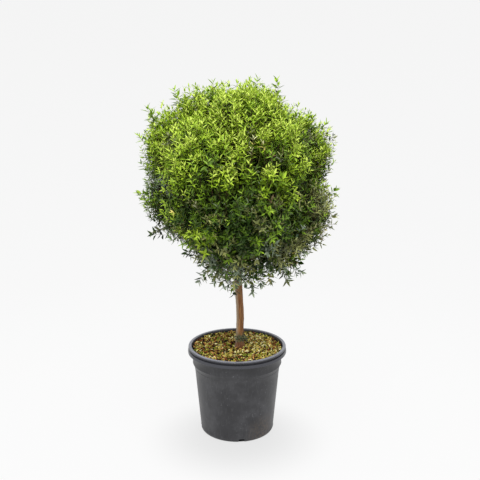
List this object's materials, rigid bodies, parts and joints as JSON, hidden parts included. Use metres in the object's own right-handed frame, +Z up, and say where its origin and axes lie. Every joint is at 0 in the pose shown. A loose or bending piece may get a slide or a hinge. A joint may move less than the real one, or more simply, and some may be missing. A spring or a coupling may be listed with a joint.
{
  "type": "potted lollipop topiary shrub",
  "caption": "Small-leaved evergreen shrub trained as a standard: a bare upright stem with a clipped ball of foliage on top, growing in a round tapered nursery pot",
  "frame": {"origin": "centre of the flat underside of the pot, on the surface that it stands on", "axes": "+Z up along the pot's axis; +X the plant's right and -Y its front, as seen from the front"},
  "size_m": [0.4511, 0.4511, 0.8585],
  "materials": {
    "pot": "matt moulded plastic with a slight sheen on the rolled lip",
    "soil": "damp potting mix under a mulch of hulls and moss",
    "bark": "thin flaking bark, rough",
    "leaf": "small leathery evergreen leaves, satin"
  },
  "bodies": {
    "root": {"pot": "pot", "soil": "soil", "trunk": "bark", "leader": "bark", "bough_1": "bark", "bough_2": "bark", "bough_3": "bark", "bough_4": "bark", "bough_5": "bark", "bough_6": "bark", "bough_7": "bark", "foliage_top_left": "leaf", "foliage_top_back": "leaf", "foliage_top_front": "leaf", "foliage_shoulder_right": "leaf", "foliage_shoulder_back_right": "leaf", "foliage_shoulder_back_left": "leaf", "foliage_shoulder_left": "leaf", "foliage_shoulder_front_left": "leaf", "foliage_shoulder_front_right": "leaf", "foliage_flank_left": "leaf", "foliage_flank_front_left": "leaf", "foliage_flank_front": "leaf", "foliage_flank_right_front": "leaf", "foliage_flank_right_back": "leaf", "foliage_flank_back": "leaf", "foliage_flank_back_left": "leaf", "foliage_skirt_left": "leaf", "foliage_skirt_right": "leaf", "foliage_skirt_front": "leaf", "foliage_skirt_back": "leaf"}
  },
  "joints": []
}
